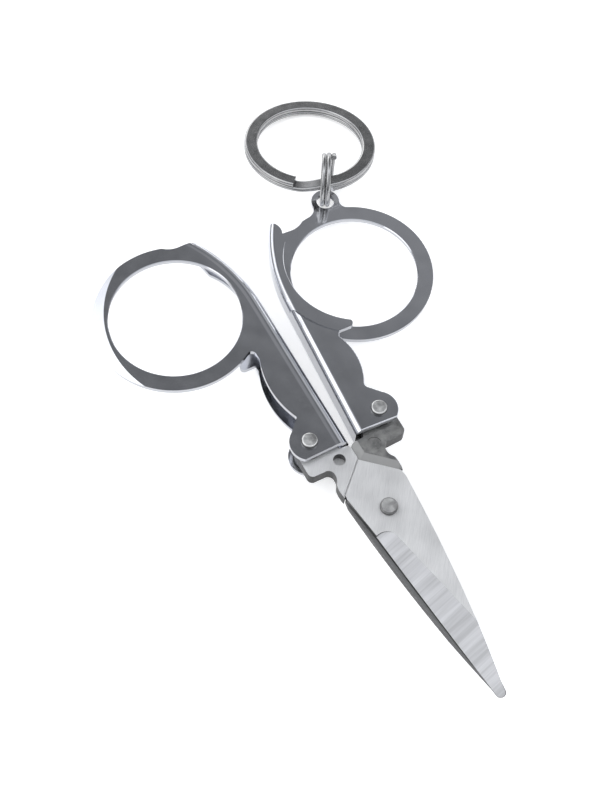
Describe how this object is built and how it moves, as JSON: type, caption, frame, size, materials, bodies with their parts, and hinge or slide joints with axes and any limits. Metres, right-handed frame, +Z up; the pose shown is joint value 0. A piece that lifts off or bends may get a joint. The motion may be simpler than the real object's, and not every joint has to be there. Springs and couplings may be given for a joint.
{
  "type": "folding travel scissors",
  "caption": "Folding travel scissors with channel handles that turn outwards and swallow the blades, on a split key ring",
  "frame": {"origin": "bottom centre of the whole object's box, scissors closed with both handles swung out", "axes": "+Y from the blade tips towards the finger rings and the key ring, along the longest extent; +X towards the handle that carries the key ring; +Z up from the table, along the pivot axis"},
  "size_m": [0.0674, 0.1192, 0.0101],
  "materials": {
    "blade_steel": "brushed, with a ground cutting bevel",
    "handle_chrome": "polished chrome plate",
    "rivet_nickel": "satin nickel",
    "ring_nickel": "polished nickel wire"
  },
  "bodies": {
    "lower_blade_assembly": {"lower_blade": "blade_steel", "pivot_rivet": "rivet_nickel", "right_handle_rivet": "rivet_nickel", "right_washer_upper": "rivet_nickel", "right_washer_lower": "rivet_nickel"},
    "upper_blade_assembly": {"upper_blade": "blade_steel", "left_handle_rivet": "rivet_nickel", "left_washer_upper": "rivet_nickel", "left_washer_lower": "rivet_nickel"},
    "left_handle_body": {"left_handle": "handle_chrome"},
    "right_handle_body": {"right_handle": "handle_chrome"},
    "small_ring_body": {"small_split_ring": "ring_nickel"},
    "key_ring_body": {"key_split_ring": "ring_nickel"}
  },
  "joints": [
    {"name": "blade_pivot", "type": "hinge", "parent": "lower_blade_assembly", "child": "upper_blade_assembly", "pos_m": [-0.00411, -0.02494, 0.00475], "axis": [0, 0, 1], "range_deg": [0, 50]},
    {"name": "left_handle_fold", "type": "hinge", "parent": "upper_blade_assembly", "child": "left_handle_body", "pos_m": [-0.01031, -0.00944, 0.00475], "axis": [0, 0, -1], "range_deg": [-172, 0]},
    {"name": "right_handle_fold", "type": "hinge", "parent": "lower_blade_assembly", "child": "right_handle_body", "pos_m": [0.00289, -0.00944, 0.00475], "axis": [0, 0, 1], "range_deg": [-160, 0]},
    {"name": "small_ring_swing", "type": "hinge", "parent": "right_handle_body", "child": "small_ring_body", "pos_m": [0.01899, 0.03679, 0.00194], "axis": [0.8386, -0.5447, 0], "range_deg": [-70, 4]},
    {"name": "key_ring_swing", "type": "hinge", "parent": "small_ring_body", "child": "key_ring_body", "pos_m": [0.01881, 0.03651, 0.00535], "axis": [0.9709, -0.2303, -0.0653], "range_deg": [-40, 100]}
  ]
}
